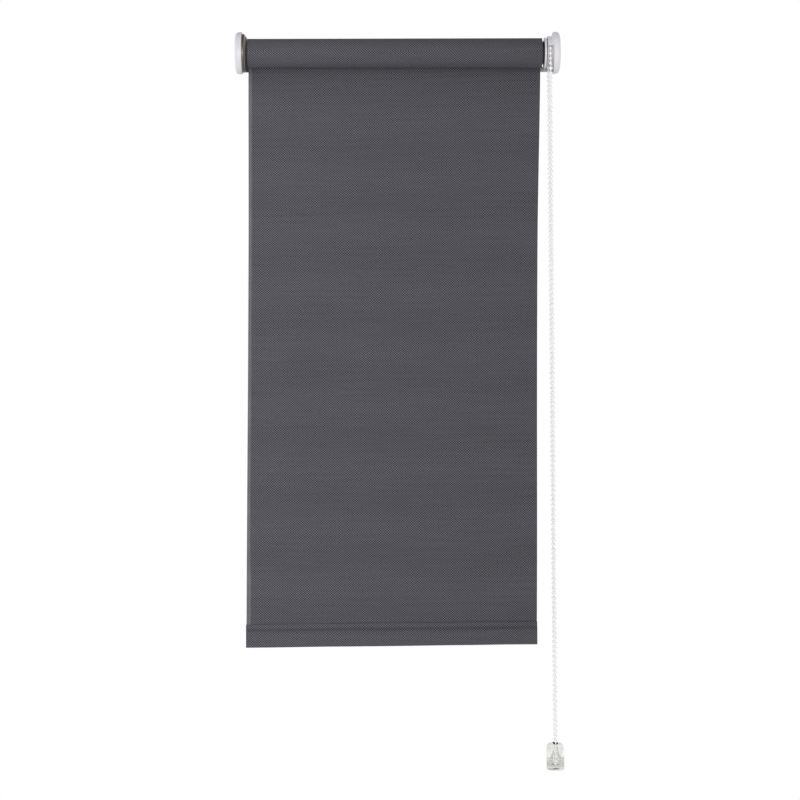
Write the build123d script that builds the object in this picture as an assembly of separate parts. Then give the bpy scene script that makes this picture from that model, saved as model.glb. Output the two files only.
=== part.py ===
from build123d import *
import os
from math import cos, pi, radians, sin

# Roller blind: two wall brackets, a fabric roller turned by a bead chain, a sprung idle pin,
# a hem bar, and a clear chain weight. Millimetres. +X along the roller, +Y into the wall, +Z up.
# The origin is the centre of the four wall screw holes, on the wall and level with the roller.

# Overall sizes
OVERALL_WIDTH = 396.0
AXIS_TO_WALL = 30.0
FABRIC_DROP = 728.4
FABRIC_THICKNESS = 0.6
ROLL_RADIUS = 18.6
# The fabric is wound slightly askew, so its hem hangs this far towards +X.
HEM_SHIFT = -6.0

# Clearances
RUNNING_FIT = 0.05
SLIDING_FIT = 0.05
PLUG_FIT = 0.05
SEAT_GAP = 0.1
PART_GAP = 0.2
SOFT_GAP = 0.3

# Roller tube, tape and wound fabric
TUBE_RADIUS = 14.0
TUBE_WALL = 1.2
TUBE_PAST_FABRIC_LEFT = 0.6
TUBE_PAST_FABRIC_RIGHT = 2.8
KEY_COUNT = 2
KEY_HEIGHT = 1.5
KEY_WIDTH = 2.0
TAPE_THICKNESS = 0.2
TAPE_ANGLE = 40.0
TAPE_SHORTER = 4.0

# Brackets
PLATE_RADIUS = 23.5
PLATE_THICKNESS = 1.5
PLATE_RIM_DEPTH = 2.9
FOOT_REACH = 20.5
FOOT_HEIGHT = 37.0
BEND_RADIUS = 1.5
FOOT_CORNER = 3.0
SCREW_HOLE_RADIUS = 2.25
SCREW_SPACING_X = 362.0
SCREW_SPACING_Z = 20.0

# End caps
CAP_RADIUS = 25.5
CAP_DEPTH = 7.8
CAP_OVER_PLATE = 2.0
CAP_WALL = 1.5
CAP_EDGE_RADIUS = 4.5
CAP_TO_PLATE = 0.3
POST_RADIUS = 1.5
POST_CIRCLE = 18.0
POST_COUNT = 3
POST_START_ANGLE = 0.0

# Drive spindle, guard and its fixings
BASE_RADIUS = 16.8
BASE_THICKNESS = 1.0
SPINDLE_RADIUS = 5.5
SPINDLE_LENGTH = 39.0
LUG_SIDE = 9.0
GUARD_RADIUS = 20.2
GUARD_WALL = 1.6
GUARD_RIM = 1.0
GUARD_OPEN_ANGLE = 19.0
GUARD_FLARE_RADIUS = 23.2
GUARD_FLARE_LENGTH = 3.0
GUARD_SHORT_OF_WHEEL = 0.4
CORE_SCREW_RADIUS = 1.9
CORE_SCREW_LENGTH = 14.0
CORE_HEAD_RADIUS = 3.6
CORE_HEAD_HEIGHT = 1.9
RECESS_WIDTH = 1.0
RECESS_DEPTH = 0.8
RECESS_LENGTH = 4.6
WASHER_RADIUS = 7.5
WASHER_THICKNESS = 1.0
CLIP_GROOVE_DEPTH = 0.9
CLIP_THICKNESS = 1.0
CLIP_RISE = 1.7
CLIP_MOUTH = 7.0
SPINDLE_TIP = 3.0

# Chain wheel, wrap springs and tube adapter
BEAD_RADIUS = 2.25
BEAD_PITCH = 6.0
WHEEL_POCKETS = 16
POCKET_CLEARANCE = 0.2
GROOVE_CLEARANCE = 0.2
WHEEL_FLANGE_THICKNESS = 0.95
WHEEL_FLANGE_RISE = 1.1
STRING_RADIUS = 0.75
WIRE_RADIUS = 0.5
WRAP_TURNS = 4.0
WRAP_PITCH = 1.35
WRAP_GAP = 3.0
HUB_WALL = 1.6
ADAPTER_DEPTH = 30.0
ADAPTER_FLANGE_RADIUS = 18.4
ADAPTER_FLANGE_THICKNESS = 2.2
FLANGE_TO_WHEEL = 1.2

# Idle end
PLUG_DEPTH = 30.0
PLUG_FLANGE_RADIUS = 17.6
PLUG_FLANGE_THICKNESS = 2.0
PLUG_WINDOWS = 6
PLUG_WINDOW_RADIUS = 2.4
PLUG_WINDOW_CIRCLE = 9.5
PLUG_WINDOW_DEPTH = 5.0
PLUG_FLARE_START = 18.4
PLUG_FLARE_END = 22.8
PLUG_FLARE_WALL = 1.4
PLUG_TO_RIM = 0.6
PIN_RADIUS = 3.0
PIN_TIP_CHAMFER = 0.6
PIN_SHOULDER_RADIUS = 4.8
PIN_SHOULDER_LENGTH = 2.0
PIN_TAIL = 7.0
PIN_TRAVEL = 5.0
PIN_GUIDE = 9.0
CHAMBER_RADIUS = 5.0
STOPPER_THICKNESS = 2.0
PIN_SPRING_WIRE = 0.5
PIN_SPRING_TURNS = 5.5
SOCKET_RADIUS = 12.0
SOCKET_THICKNESS = 3.0
SOCKET_TO_FLANGE = 1.6
SOCKET_LUG_RADIUS = 5.0
PIN_TIP_SHORT = 0.7

# Hem and bottom bar
HEM_HEIGHT = 27.0
HEM_WIDER = 0.8
SEAM_HEIGHT = 5.0
BAR_THICKNESS = 2.5
BAR_HEIGHT = 18.5
BAR_SHORTER = 4.0
BAR_CORNER = 2.0

# Chain weight
WEIGHT_WIDTH = 21.0
WEIGHT_DEPTH = 24.0
WEIGHT_TOP = -846.2
WEIGHT_BOTTOM = -878.0
WEIGHT_CORNER = 8.0
WEIGHT_TOP_RADIUS = 5.0
WEIGHT_WALL = 2.9
WEIGHT_ROOF = 4.5
CAVITY_CORNER = 5.5
SLOT_WIDTH = 6.0
SLOT_DEPTH = 18.2
PULLEY_POCKETS = 6
PULLEY_FLANGE_THICKNESS = 0.55
PULLEY_FLANGE_RISE = 0.9
AXLE_RADIUS = 1.5
AXLE_BITE = 2.0
BOSS_RADIUS = 3.0

# Worked-out sizes
HALF_WIDTH = OVERALL_WIDTH / 2
PLATE_OUTER_X = HALF_WIDTH - CAP_DEPTH + CAP_OVER_PLATE
PLATE_INNER_X = PLATE_OUTER_X - PLATE_THICKNESS
AXIS_Y = -AXIS_TO_WALL
TUBE_BORE = TUBE_RADIUS - TUBE_WALL
BASE_INNER_X = PLATE_INNER_X - BASE_THICKNESS
WHEEL_OUTER_X = BASE_INNER_X - PART_GAP
GROOVE_WIDTH = 2 * (BEAD_RADIUS + GROOVE_CLEARANCE)
WHEEL_WIDTH = GROOVE_WIDTH + 2 * WHEEL_FLANGE_THICKNESS
WHEEL_INNER_X = WHEEL_OUTER_X - WHEEL_WIDTH
TUBE_LEFT = -PLATE_INNER_X + SOCKET_THICKNESS + SOCKET_TO_FLANGE + PLUG_FLANGE_THICKNESS
TUBE_RIGHT = WHEEL_INNER_X - FLANGE_TO_WHEEL - ADAPTER_FLANGE_THICKNESS
FABRIC_LEFT = TUBE_LEFT + TUBE_PAST_FABRIC_LEFT
FABRIC_RIGHT = TUBE_RIGHT - TUBE_PAST_FABRIC_RIGHT
FABRIC_WIDTH = FABRIC_RIGHT - FABRIC_LEFT
FABRIC_MIDDLE = (FABRIC_LEFT + FABRIC_RIGHT) / 2
CHAIN_X = WHEEL_OUTER_X - WHEEL_WIDTH / 2
WHEEL_PITCH_RADIUS = WHEEL_POCKETS * BEAD_PITCH / (2 * pi)
PULLEY_PITCH_RADIUS = BEAD_PITCH / 2 / sin(pi / PULLEY_POCKETS)
WHEEL_BORE = SPINDLE_RADIUS + RUNNING_FIT
WRAP_MEAN_RADIUS = WHEEL_BORE + WIRE_RADIUS
WRAP_LENGTH = WRAP_TURNS * WRAP_PITCH
HUB_BORE = WRAP_MEAN_RADIUS + WIRE_RADIUS + RUNNING_FIT
HUB_RADIUS = HUB_BORE + HUB_WALL
ADAPTER_BORE = HUB_RADIUS + PLUG_FIT
SPINDLE_END_X = BASE_INNER_X - SPINDLE_LENGTH
CLIP_RADIUS = SPINDLE_RADIUS + CLIP_RISE
CLIP_X = SPINDLE_END_X + SPINDLE_TIP
HUB_END_X = CLIP_X + CLIP_THICKNESS + PART_GAP
SHEET_Y = AXIS_Y + ROLL_RADIUS + SOFT_GAP + FABRIC_THICKNESS / 2
HEM_BOTTOM = -FABRIC_DROP
HEM_TOP = HEM_BOTTOM + HEM_HEIGHT
POCKET_DEPTH = BAR_THICKNESS + 2 * SOFT_GAP + 2 * FABRIC_THICKNESS
POCKET_TOP = HEM_TOP - SEAM_HEIGHT

# The free part of the chain: down in front, under the weight's pulley and up behind. The radii are
# those of the pulley.
CHAIN_ROUTE = [
    (186.1, -45.28, 0.0),
    (189.8, -36.03, -871.5),
    (189.8, -23.97, -871.5),
    (186.1, -14.72, 0.0),
]
PULLEY_X = CHAIN_ROUTE[1][0]
PULLEY_Z = CHAIN_ROUTE[1][2] + PULLEY_PITCH_RADIUS


def rod(radius, x_start, x_end, y=AXIS_Y, z=0.0):
    """A round bar along X, by default on the roller's axis."""
    bar = Cylinder(radius, x_end - x_start, align=(Align.CENTER, Align.CENTER, Align.MIN))
    return Pos(x_start, y, z) * Rot(0, 90, 0) * bar


def ring(outer, inner, x_start, x_end, y=AXIS_Y, z=0.0):
    """A round tube along X."""
    return rod(outer, x_start, x_end, y, z) - rod(inner, x_start, x_end, y, z)


def cone(start_radius, end_radius, x_start, x_end):
    """A tapered bar along X on the roller's axis."""
    taper = Cone(start_radius, end_radius, x_end - x_start, align=(Align.CENTER, Align.CENTER, Align.MIN))
    return Pos(x_start, AXIS_Y, 0) * Rot(0, 90, 0) * taper


def block(low, high):
    """A box from its lowest to its highest corner."""
    size = [b - a for a, b in zip(low, high)]
    centre = [(a + b) / 2 for a, b in zip(low, high)]
    return Pos(*centre) * Box(*size)


def around(count, radius, start=0.0, y=AXIS_Y, z=0.0):
    """Places evenly spaced round an axis along X; the first is above it at a start angle of zero."""
    places = []
    for index in range(count):
        angle = radians(start + 360.0 * index / count)
        places.append((y + radius * sin(angle), z + radius * cos(angle)))
    return places


def sector(angle_from, angle_to, reach, x_start, x_end):
    """A wedge about the roller's axis, between two angles above the front horizontal."""
    steps = 8
    outline = [(0.0, 0.0)]
    for index in range(steps + 1):
        angle = radians(angle_from + (angle_to - angle_from) * index / steps)
        outline.append((-reach * cos(angle), reach * sin(angle)))
    face = make_face(Polyline(*outline, close=True))
    wedge = extrude(face, x_end - x_start)
    frame = Plane(origin=(x_start, AXIS_Y, 0), x_dir=(0, 1, 0), z_dir=(1, 0, 0))
    return frame * wedge


def coil(mean_radius, wire_radius, pitch, turns, x_start):
    """A helical spring along the roller's axis."""
    helix = Helix(pitch=pitch, height=pitch * turns, radius=mean_radius)
    start = helix @ 0
    section = Plane(origin=start, z_dir=helix % 0) * Circle(wire_radius)
    spring = sweep(section, path=helix)
    return Pos(x_start, AXIS_Y, 0) * Rot(0, 90, 0) * spring


def mirror_side(shape, side):
    """The shape as made for the right end, or turned over for the left end."""
    if side > 0:
        return shape
    return mirror(shape, about=Plane.YZ)


def tube_keys(grow, x_start, x_end):
    """The long keys inside the tube, grown by a clearance for what slides over them."""
    keys = []
    reach = TUBE_BORE + TUBE_WALL / 2
    for index in range(KEY_COUNT):
        angle = 360.0 * index / KEY_COUNT
        key = block(
            (x_start, -KEY_WIDTH / 2 - grow, TUBE_BORE - KEY_HEIGHT - grow),
            (x_end, KEY_WIDTH / 2 + grow, reach),
        )
        keys.append(Pos(0, AXIS_Y, 0) * Rot(angle, 0, 0) * key)
    return keys


def roller_tube():
    """Aluminium tube with two keys inside that the end plugs slide over."""
    tube = ring(TUBE_RADIUS, TUBE_BORE, TUBE_LEFT, TUBE_RIGHT)
    for key in tube_keys(0.0, TUBE_LEFT, TUBE_RIGHT):
        tube += key
    return tube


def fabric_tape():
    """Adhesive strip that holds the first wrap of fabric on the tube."""
    start = FABRIC_LEFT + TAPE_SHORTER / 2
    end = FABRIC_RIGHT - TAPE_SHORTER / 2
    tape = ring(TUBE_RADIUS + TAPE_THICKNESS, TUBE_RADIUS, start, end)
    wedge = sector(90 - TAPE_ANGLE / 2, 90 + TAPE_ANGLE / 2, 2 * TUBE_RADIUS, start, end)
    return tape & wedge


def wound_fabric():
    """The wraps of fabric on the tube."""
    return ring(ROLL_RADIUS, TUBE_RADIUS + TAPE_THICKNESS, FABRIC_LEFT, FABRIC_RIGHT)


def bracket(side):
    """Steel bracket: a round side plate with a foot bent inwards along the wall.

    The idle end's plate has a rim turned inwards.
    """
    leg = Pos((PLATE_INNER_X + PLATE_OUTER_X) / 2, AXIS_Y / 2) * Rectangle(PLATE_THICKNESS, AXIS_TO_WALL)
    foot_inner = PLATE_OUTER_X - FOOT_REACH
    foot = Pos((foot_inner + PLATE_OUTER_X) / 2, -PLATE_THICKNESS / 2) * Rectangle(FOOT_REACH, PLATE_THICKNESS)
    profile = leg + foot
    outer = profile.vertices().sort_by_distance((PLATE_OUTER_X, 0, 0))[0]
    profile = fillet(outer, BEND_RADIUS + PLATE_THICKNESS)
    inner = profile.vertices().sort_by_distance((PLATE_INNER_X, -PLATE_THICKNESS, 0))[0]
    profile = fillet(inner, BEND_RADIUS)
    body = Pos(0, 0, -FOOT_HEIGHT / 2) * extrude(profile, FOOT_HEIGHT)
    ends = body.edges().filter_by(Axis.Y).group_by(Axis.X)[0]
    body = fillet(ends, FOOT_CORNER)
    body += rod(PLATE_RADIUS, PLATE_INNER_X, PLATE_OUTER_X)
    for z in (-SCREW_SPACING_Z / 2, SCREW_SPACING_Z / 2):
        hole = Pos(SCREW_SPACING_X / 2, -PLATE_THICKNESS / 2, z) * Rot(90, 0, 0)
        body -= hole * Cylinder(SCREW_HOLE_RADIUS, 2 * PLATE_THICKNESS)
    for y, z in around(POST_COUNT, POST_CIRCLE, POST_START_ANGLE):
        body -= rod(POST_RADIUS + SEAT_GAP, PLATE_INNER_X, PLATE_OUTER_X, y, z)
    if side > 0:
        half = LUG_SIDE / 2 + SEAT_GAP
        body -= block((PLATE_INNER_X, AXIS_Y - half, -half), (PLATE_OUTER_X, AXIS_Y + half, half))
    else:
        body -= rod(SOCKET_LUG_RADIUS + SEAT_GAP, PLATE_INNER_X, PLATE_OUTER_X)
        rim_x = PLATE_INNER_X - PLATE_RIM_DEPTH
        body += ring(PLATE_RADIUS, PLATE_RADIUS - PLATE_THICKNESS, rim_x, PLATE_INNER_X)
    return mirror_side(body, side)


def end_cap(side):
    """Domed plastic cover with three posts that push into the bracket plate.

    Its skirt passes over the plate's edge, with a gap where the bracket's leg leaves the plate.
    """
    rim_x = HALF_WIDTH - CAP_DEPTH
    outside = rod(CAP_RADIUS, rim_x, HALF_WIDTH)
    outside = fillet(outside.edges().sort_by(Axis.X)[-1], CAP_EDGE_RADIUS)
    inside = rod(CAP_RADIUS - CAP_WALL, rim_x, HALF_WIDTH - CAP_WALL)
    inside = fillet(inside.edges().sort_by(Axis.X)[-1], CAP_EDGE_RADIUS - CAP_WALL)
    cap = outside - inside
    half = FOOT_HEIGHT / 2 + CAP_TO_PLATE
    cap -= block((rim_x, AXIS_Y, -half), (PLATE_OUTER_X + CAP_TO_PLATE, 0, half))
    for y, z in around(POST_COUNT, POST_CIRCLE, POST_START_ANGLE):
        cap += rod(POST_RADIUS, PLATE_INNER_X + PART_GAP, HALF_WIDTH - CAP_WALL, y, z)
    return mirror_side(cap, side)


def drive_spindle():
    """Fixed core of the drive: base disc, spindle for the wheel and a square lug through the plate."""
    core = rod(BASE_RADIUS, BASE_INNER_X, PLATE_INNER_X)
    core += rod(SPINDLE_RADIUS, SPINDLE_END_X, BASE_INNER_X)
    half = LUG_SIDE / 2
    core += block((PLATE_INNER_X, AXIS_Y - half, -half), (PLATE_OUTER_X, AXIS_Y + half, half))
    groove = ring(SPINDLE_RADIUS, SPINDLE_RADIUS - CLIP_GROOVE_DEPTH, CLIP_X, CLIP_X + CLIP_THICKNESS)
    core -= groove
    core -= rod(CORE_SCREW_RADIUS, PLATE_OUTER_X - CORE_SCREW_LENGTH, PLATE_OUTER_X)
    return core


def drive_guard():
    """White guard: a rim round the base disc and a flared hood over the wheel, open below for the chain."""
    start = WHEEL_INNER_X + GUARD_SHORT_OF_WHEEL
    hood = ring(GUARD_RADIUS, GUARD_RADIUS - GUARD_WALL, start, PLATE_INNER_X)
    flare_start = PLATE_INNER_X - GUARD_FLARE_LENGTH
    flare = cone(GUARD_RADIUS, GUARD_FLARE_RADIUS, flare_start, PLATE_INNER_X)
    flare -= rod(GUARD_RADIUS - GUARD_WALL, flare_start, PLATE_INNER_X)
    hood += flare
    hood &= sector(GUARD_OPEN_ANGLE, 180 - GUARD_OPEN_ANGLE, 2 * GUARD_RADIUS, start, PLATE_INNER_X)
    rim = ring(GUARD_RADIUS, BASE_RADIUS + SEAT_GAP, PLATE_INNER_X - GUARD_RIM, PLATE_INNER_X)
    return hood + rim


def core_washer():
    """Steel washer that clamps the spindle's lug in the plate."""
    end = PLATE_OUTER_X + WASHER_THICKNESS
    return ring(WASHER_RADIUS, CORE_SCREW_RADIUS + SEAT_GAP, PLATE_OUTER_X, end)


def core_screw():
    """Pan-head screw with a crossed recess, from the cap's side into the spindle."""
    seat = PLATE_OUTER_X + WASHER_THICKNESS
    screw = rod(CORE_SCREW_RADIUS, PLATE_OUTER_X - CORE_SCREW_LENGTH, seat)
    head = rod(CORE_HEAD_RADIUS, seat, seat + CORE_HEAD_HEIGHT)
    head = fillet(head.edges().sort_by(Axis.X)[-1], CORE_HEAD_HEIGHT / 2)
    screw += head
    top = seat + CORE_HEAD_HEIGHT
    for width, height in ((RECESS_WIDTH, RECESS_LENGTH), (RECESS_LENGTH, RECESS_WIDTH)):
        low = (top - RECESS_DEPTH, AXIS_Y - width / 2, -height / 2)
        high = (top, AXIS_Y + width / 2, height / 2)
        screw -= block(low, high)
    return screw


def spindle_clip():
    """Open ring in the spindle's groove that keeps the wheel on."""
    inner = SPINDLE_RADIUS - CLIP_GROOVE_DEPTH + RUNNING_FIT
    clip = ring(CLIP_RADIUS, inner, CLIP_X, CLIP_X + CLIP_THICKNESS)
    mouth = block(
        (CLIP_X, AXIS_Y - CLIP_MOUTH / 2, -CLIP_RADIUS),
        (CLIP_X + CLIP_THICKNESS, AXIS_Y + CLIP_MOUTH / 2, 0),
    )
    return clip - mouth


def pocketed(body, count, pitch_radius, x, y, z):
    """Cuts one round pocket for each bead that the wheel carries."""
    for bead_y, bead_z in around(count, pitch_radius, 180.0 / count, y, z):
        body -= Pos(x, bead_y, bead_z) * Sphere(BEAD_RADIUS + POCKET_CLEARANCE)
    return body


def grooved_wheel(width, flange, rise, pitch_radius, count, x, y, z):
    """A wheel whose groove clears the string and whose pockets hold the beads."""
    ridge = pitch_radius - STRING_RADIUS - SOFT_GAP
    outer = pitch_radius + rise
    start = x - width / 2
    end = x + width / 2
    wheel = rod(ridge, start, end, y, z)
    wheel += rod(outer, start, start + flange, y, z)
    wheel += rod(outer, end - flange, end, y, z)
    return pocketed(wheel, count, pitch_radius, x, y, z)


def chain_wheel():
    """Wheel that the beads drive, with a long hub that holds the wrap springs."""
    wheel = grooved_wheel(
        WHEEL_WIDTH,
        WHEEL_FLANGE_THICKNESS,
        WHEEL_FLANGE_RISE,
        WHEEL_PITCH_RADIUS,
        WHEEL_POCKETS,
        CHAIN_X,
        AXIS_Y,
        0.0,
    )
    wheel += rod(HUB_RADIUS, HUB_END_X, WHEEL_INNER_X)
    wheel -= rod(WHEEL_BORE, WHEEL_INNER_X, WHEEL_OUTER_X)
    wheel -= rod(HUB_BORE, HUB_END_X, WHEEL_INNER_X)
    return wheel


def wrap_spring(index):
    """One of the two wrap springs, which grip the spindle against each way of turning."""
    first = HUB_END_X + WRAP_GAP
    start = first + index * (WRAP_LENGTH + WRAP_GAP)
    return coil(WRAP_MEAN_RADIUS, WIRE_RADIUS, WRAP_PITCH, WRAP_TURNS, start)


def tube_adapter():
    """Plug in the tube's drive end, with a flange against the tube and a bore over the wheel's hub."""
    start = TUBE_RIGHT - ADAPTER_DEPTH
    sleeve = ring(TUBE_BORE - PLUG_FIT, ADAPTER_BORE, start, TUBE_RIGHT)
    for key in tube_keys(PLUG_FIT, start, TUBE_RIGHT):
        sleeve -= key
    flange_end = TUBE_RIGHT + ADAPTER_FLANGE_THICKNESS
    flange = ring(ADAPTER_FLANGE_RADIUS, ADAPTER_BORE, TUBE_RIGHT, flange_end)
    flange = chamfer(flange.edges().filter_by(GeomType.CIRCLE).sort_by(Axis.X)[-1], PART_GAP)
    return sleeve + flange


def idle_plug():
    """Plug in the tube's idle end, with a flared flange, the pin's guide and the spring's chamber."""
    end = TUBE_LEFT + PLUG_DEPTH
    plug = rod(TUBE_BORE - PLUG_FIT, TUBE_LEFT, end)
    for key in tube_keys(PLUG_FIT, TUBE_LEFT, end):
        plug -= key
    plug += rod(PLUG_FLANGE_RADIUS, TUBE_LEFT - PLUG_FLANGE_THICKNESS, TUBE_LEFT)
    front = TUBE_LEFT - PLUG_FLANGE_THICKNESS
    mouth = -PLATE_INNER_X + PLATE_RIM_DEPTH + PLUG_TO_RIM
    flare = cone(PLUG_FLARE_END, PLUG_FLARE_START, mouth, TUBE_LEFT)
    hollow = cone(PLUG_FLARE_END - PLUG_FLARE_WALL, PLUG_FLARE_START - PLUG_FLARE_WALL, mouth, front)
    plug += flare - hollow
    for y, z in around(PLUG_WINDOWS, PLUG_WINDOW_CIRCLE, 180.0 / PLUG_WINDOWS):
        plug -= rod(PLUG_WINDOW_RADIUS, front, front + PLUG_WINDOW_DEPTH, y, z)
    plug -= rod(PIN_RADIUS + SLIDING_FIT, front, end)
    plug -= rod(CHAMBER_RADIUS, front + PIN_GUIDE, end)
    return plug


def pin_shoulder_x():
    """Where the pin's shoulder rests against the guide."""
    return TUBE_LEFT - PLUG_FLANGE_THICKNESS + PIN_GUIDE


def idle_pin():
    """Steel pin that carries the roller's idle end, with a shoulder for its spring."""
    tip = -PLATE_OUTER_X + PIN_TIP_SHORT
    shoulder = pin_shoulder_x()
    back = shoulder + PIN_SHOULDER_LENGTH
    pin = rod(PIN_RADIUS, tip, back + PIN_TAIL)
    pin = chamfer(pin.edges().filter_by(GeomType.CIRCLE).sort_by(Axis.X)[0], PIN_TIP_CHAMFER)
    return pin + rod(PIN_SHOULDER_RADIUS, shoulder, back)


def plug_stopper():
    """Disc that closes the spring's chamber."""
    end = TUBE_LEFT + PLUG_DEPTH
    return rod(CHAMBER_RADIUS - PLUG_FIT, end - STOPPER_THICKNESS, end)


def pin_spring():
    """Compression spring between the pin's shoulder and the stopper."""
    start = pin_shoulder_x() + PIN_SHOULDER_LENGTH + PIN_SPRING_WIRE
    end = TUBE_LEFT + PLUG_DEPTH - STOPPER_THICKNESS - PIN_SPRING_WIRE
    mean = (PIN_RADIUS + CHAMBER_RADIUS) / 2
    return coil(mean, PIN_SPRING_WIRE, (end - start) / PIN_SPRING_TURNS, PIN_SPRING_TURNS, start)


def pin_socket():
    """Plastic bearing in the idle bracket, with a lug through the plate."""
    socket = rod(SOCKET_RADIUS, -PLATE_INNER_X, -PLATE_INNER_X + SOCKET_THICKNESS)
    socket = chamfer(socket.edges().sort_by(Axis.X)[-1], SOCKET_THICKNESS / 3)
    socket += rod(SOCKET_LUG_RADIUS, -PLATE_OUTER_X, -PLATE_INNER_X)
    return socket - rod(PIN_RADIUS + RUNNING_FIT, -PLATE_OUTER_X, -PLATE_INNER_X + SOCKET_THICKNESS)


def fabric_sheet():
    """The flat fabric that hangs off the back of the roll, askew, down to the hem."""
    outline = Polyline(
        (FABRIC_LEFT, 0.0),
        (FABRIC_RIGHT, 0.0),
        (FABRIC_RIGHT + HEM_SHIFT, HEM_TOP),
        (FABRIC_LEFT + HEM_SHIFT, HEM_TOP),
        close=True,
    )
    front = Plane(origin=(0, SHEET_Y - FABRIC_THICKNESS / 2, 0), x_dir=(1, 0, 0), z_dir=(0, -1, 0))
    return front * extrude(make_face(outline), -FABRIC_THICKNESS)


def hem_pocket():
    """Doubled hem: a flat sleeve for the bar under a seam where the two layers meet."""
    left = FABRIC_LEFT + HEM_SHIFT - HEM_WIDER / 2
    right = FABRIC_RIGHT + HEM_SHIFT + HEM_WIDER / 2
    half = POCKET_DEPTH / 2
    pocket = block((left, SHEET_Y - half, HEM_BOTTOM), (right, SHEET_Y + half, POCKET_TOP))
    pocket = fillet(pocket.edges().filter_by(Axis.X), half * 0.8)
    inner = half - FABRIC_THICKNESS
    hollow = block(
        (left, SHEET_Y - inner, HEM_BOTTOM + FABRIC_THICKNESS),
        (right, SHEET_Y + inner, POCKET_TOP - FABRIC_THICKNESS),
    )
    seam = block(
        (left, SHEET_Y - FABRIC_THICKNESS, POCKET_TOP - FABRIC_THICKNESS),
        (right, SHEET_Y + FABRIC_THICKNESS, HEM_TOP),
    )
    return pocket - hollow + seam


def bottom_bar():
    """Flat bar in the hem that keeps the fabric straight."""
    half_length = (FABRIC_WIDTH - BAR_SHORTER) / 2
    middle = FABRIC_MIDDLE + HEM_SHIFT
    low = HEM_BOTTOM + FABRIC_THICKNESS + SOFT_GAP
    bar = block(
        (middle - half_length, SHEET_Y - BAR_THICKNESS / 2, low),
        (middle + half_length, SHEET_Y + BAR_THICKNESS / 2, low + BAR_HEIGHT),
    )
    return fillet(bar.edges().filter_by(Axis.Y), BAR_CORNER)


def chain_path():
    """The free chain's centre line: straight runs joined by arcs the size of the pulley."""
    radii = [PULLEY_PITCH_RADIUS] * (len(CHAIN_ROUTE) - 2)
    return FilletPolyline(*CHAIN_ROUTE, radius=radii)


def bead_chain():
    """The chain's string from the front of the wheel, under the pulley and back to the wheel."""
    path = chain_path()
    section = Plane(origin=path @ 0, z_dir=path % 0) * Circle(STRING_RADIUS)
    tube = sweep(section, path=path)
    expected = pi * STRING_RADIUS**2 * path.length
    print("chain radii", [round(PULLEY_PITCH_RADIUS, 3)] * (len(CHAIN_ROUTE) - 2))
    print("chain length", round(path.length, 1), "volume", round(tube.volume, 1), "expected", round(expected, 1))
    return tube


def chain_over_wheel():
    """The half turn of string that lies in the wheel's groove."""
    torus = Pos(CHAIN_X, AXIS_Y, 0) * Rot(0, 90, 0) * Torus(WHEEL_PITCH_RADIUS, STRING_RADIUS)
    reach = 2 * WHEEL_PITCH_RADIUS
    above = block((CHAIN_X - reach, AXIS_Y - reach, 0), (CHAIN_X + reach, AXIS_Y + reach, reach))
    return torus & above


def weight_body():
    """The whole outside of the weight less its slot and its cavity, whose bed is round the pulley."""
    height = WEIGHT_TOP - WEIGHT_BOTTOM
    base = Plane(origin=(PULLEY_X, AXIS_Y, WEIGHT_BOTTOM))
    outside = base * extrude(RectangleRounded(WEIGHT_WIDTH, WEIGHT_DEPTH, WEIGHT_CORNER), height)
    outside = fillet(outside.faces().sort_by(Axis.Z)[-1].edges(), WEIGHT_TOP_RADIUS)
    width = WEIGHT_WIDTH - 2 * WEIGHT_WALL
    depth = WEIGHT_DEPTH - 2 * WEIGHT_WALL
    cavity = base * extrude(RectangleRounded(width, depth, CAVITY_CORNER), height - WEIGHT_ROOF)
    reach = WEIGHT_WIDTH
    bed = block(
        (PULLEY_X - reach, AXIS_Y - WEIGHT_DEPTH, WEIGHT_BOTTOM),
        (PULLEY_X + reach, AXIS_Y + WEIGHT_DEPTH, PULLEY_Z),
    )
    bed -= rod(depth / 2, PULLEY_X - reach, PULLEY_X + reach, AXIS_Y, PULLEY_Z)
    cavity -= bed
    upper = Plane(origin=(PULLEY_X, AXIS_Y, PULLEY_Z))
    slot = RectangleRounded(SLOT_WIDTH, SLOT_DEPTH, SLOT_WIDTH / 2 - SEAT_GAP)
    slot = upper * extrude(slot, WEIGHT_TOP - PULLEY_Z)
    return outside - cavity - slot


def weight_shell(side):
    """One half of the clear weight, with a boss for the pulley's axle."""
    reach = WEIGHT_WIDTH
    low_x = min(PULLEY_X, PULLEY_X + side * reach)
    high_x = max(PULLEY_X, PULLEY_X + side * reach)
    half = block(
        (low_x, AXIS_Y - WEIGHT_DEPTH, WEIGHT_BOTTOM),
        (high_x, AXIS_Y + WEIGHT_DEPTH, WEIGHT_TOP),
    )
    shell = weight_body() & half
    near = PULLEY_X + side * (pulley_width() / 2 + PART_GAP)
    wall = PULLEY_X + side * (WEIGHT_WIDTH / 2 - WEIGHT_WALL / 2)
    shell += rod(BOSS_RADIUS, min(near, wall), max(near, wall), AXIS_Y, PULLEY_Z)
    seat = axle_half_length()
    return shell - rod(AXLE_RADIUS, PULLEY_X - seat, PULLEY_X + seat, AXIS_Y, PULLEY_Z)


def pulley_width():
    """The pulley's width over its flanges."""
    return GROOVE_WIDTH + 2 * PULLEY_FLANGE_THICKNESS


def axle_half_length():
    """How far the axle reaches from the middle of the weight, part way into each wall."""
    return WEIGHT_WIDTH / 2 - WEIGHT_WALL + AXLE_BITE


def weight_axle():
    """Steel pin held by both halves of the weight."""
    half = axle_half_length()
    return rod(AXLE_RADIUS, PULLEY_X - half, PULLEY_X + half, AXIS_Y, PULLEY_Z)


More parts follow.
